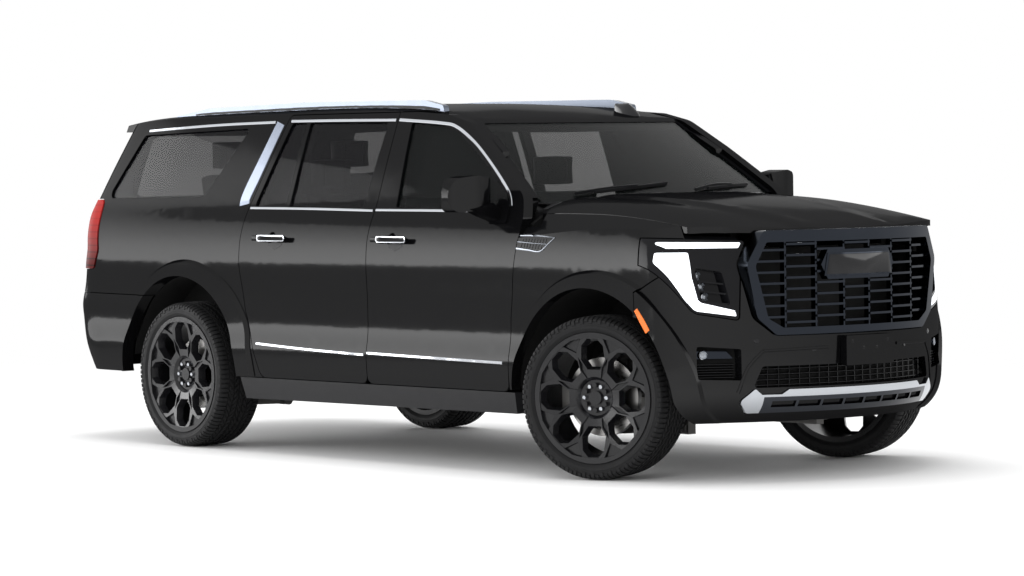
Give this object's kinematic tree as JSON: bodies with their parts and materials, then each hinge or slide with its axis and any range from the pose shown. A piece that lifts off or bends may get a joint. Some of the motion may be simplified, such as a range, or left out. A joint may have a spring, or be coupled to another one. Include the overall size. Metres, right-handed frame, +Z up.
{
  "type": "full-size suv",
  "caption": "Full-size family SUV with a broad upright grille, long roof, three rows of seats, opening doors, hood and tailgate, and wheels that steer and roll.",
  "frame": {"origin": "on the ground under the middle of the bounding box", "axes": "+X forward, +Y to the car's left, +Z up; the front wheels are steered 20 degrees to the left at rest"},
  "size_m": [5.7146, 2.408, 1.9078],
  "materials": {
    "paint": "gloss black",
    "trim": "matte",
    "grille": "dark chrome",
    "bright_bar": "polished",
    "rail": "satin",
    "glass": "clear",
    "privacy_glass": "dark",
    "lamp": "clear cover over bright parts",
    "glow": "white, lit",
    "tail_lamp": "gloss",
    "tyre": "matte",
    "rim": "gloss black",
    "frame": "matte black",
    "steel": "raw",
    "engine": "cast",
    "exhaust": "dull",
    "tank": "matte",
    "liner": "matte",
    "floor": "satin",
    "dash": "grained",
    "seat": "satin"
  },
  "bodies": {
    "body": {"side_frame_right": "paint", "side_frame_left": "paint", "roof": "paint", "windscreen": "glass", "quarter_glass": "privacy_glass", "front_fenders": "paint", "headlamps": "lamp", "running_lamps": "glow", "front_bumper": "paint", "grille": "grille", "skid_bar": "bright_bar", "tail_lamps": "tail_lamp", "rear_bumper": "paint", "roof_rails": "rail", "rocker_mouldings": "trim", "cowl": "trim", "ladder_frame": "frame", "front_suspension": "steel", "rear_suspension": "steel", "driveline": "steel", "engine": "engine", "exhaust": "exhaust", "fuel_tank": "tank", "nose_frame": "frame", "floor_pan": "floor", "wheel_liners": "liner", "dashboard": "dash", "steering_wheel": "dash", "seats_front": "seat", "seats_middle": "seat", "seats_rear": "seat"},
    "door_fr": {"door_front_right": "paint", "door_glass_front_right": "glass", "mirror_right": "paint"},
    "door_fl": {"door_front_left": "paint", "door_glass_front_left": "glass", "mirror_left": "paint"},
    "door_rr": {"door_rear_right": "paint", "door_glass_rear_right": "privacy_glass"},
    "door_rl": {"door_rear_left": "paint", "door_glass_rear_left": "privacy_glass"},
    "hood_lid": {"hood": "paint"},
    "liftgate": {"tailgate": "paint", "tailgate_glass": "privacy_glass"},
    "steer_r": {"knuckle_right": "steel"},
    "steer_l": {"knuckle_left": "steel"},
    "front_wheel_r": {"wheel_front_right": "rim", "tyre_front_right": "tyre"},
    "front_wheel_l": {"wheel_front_left": "rim", "tyre_front_left": "tyre"},
    "rear_wheel_r": {"wheel_rear_right": "rim", "tyre_rear_right": "tyre"},
    "rear_wheel_l": {"wheel_rear_left": "rim", "tyre_rear_left": "tyre"}
  },
  "joints": [
    {"name": "front_right_door", "type": "hinge", "parent": "body", "child": "door_fr", "pos_m": [1.371, -1.008, 1.1], "axis": [0, 0, 1], "range_deg": [0, 68]},
    {"name": "front_left_door", "type": "hinge", "parent": "body", "child": "door_fl", "pos_m": [1.371, 1.008, 1.1], "axis": [0, 0, -1], "range_deg": [0, 68]},
    {"name": "rear_right_door", "type": "hinge", "parent": "body", "child": "door_rr", "pos_m": [0.141, -1.008, 1.1], "axis": [0, 0, 1], "range_deg": [0, 70]},
    {"name": "rear_left_door", "type": "hinge", "parent": "body", "child": "door_rl", "pos_m": [0.141, 1.008, 1.1], "axis": [0, 0, -1], "range_deg": [0, 70]},
    {"name": "hood_hinge", "type": "hinge", "parent": "body", "child": "hood_lid", "pos_m": [1.336, 0, 1.345], "axis": [0, -1, 0], "range_deg": [0, 50]},
    {"name": "tailgate_hinge", "type": "hinge", "parent": "body", "child": "liftgate", "pos_m": [-2.325, 0, 1.85], "axis": [0, 1, 0], "range_deg": [0, 85]},
    {"name": "steer_left", "type": "hinge", "parent": "body", "child": "steer_l", "pos_m": [1.85, 0.79, 0.405], "axis": [0, 0, 1], "range_deg": [-53, 13]},
    {"name": "steer_right", "type": "hinge", "parent": "body", "child": "steer_r", "pos_m": [1.85, -0.79, 0.405], "axis": [0, 0, 1], "range_deg": [-53, 13]},
    {"name": "front_right_wheel", "type": "hinge", "parent": "steer_r", "child": "front_wheel_r", "pos_m": [1.87736, -0.86518, 0.405], "axis": [-0.342, 0.9397, 0], "continuous": true},
    {"name": "front_left_wheel", "type": "hinge", "parent": "steer_l", "child": "front_wheel_l", "pos_m": [1.82264, 0.86518, 0.405], "axis": [-0.342, 0.9397, 0], "continuous": true},
    {"name": "rear_right_wheel", "type": "hinge", "parent": "body", "child": "rear_wheel_r", "pos_m": [-1.557, -0.87, 0.405], "axis": [0, 1, 0], "continuous": true},
    {"name": "rear_left_wheel", "type": "hinge", "parent": "body", "child": "rear_wheel_l", "pos_m": [-1.557, 0.87, 0.405], "axis": [0, 1, 0], "continuous": true}
  ],
  "couplings": [
    {"joint": "steer_right", "follows": "steer_left", "ratio": 1}
  ]
}
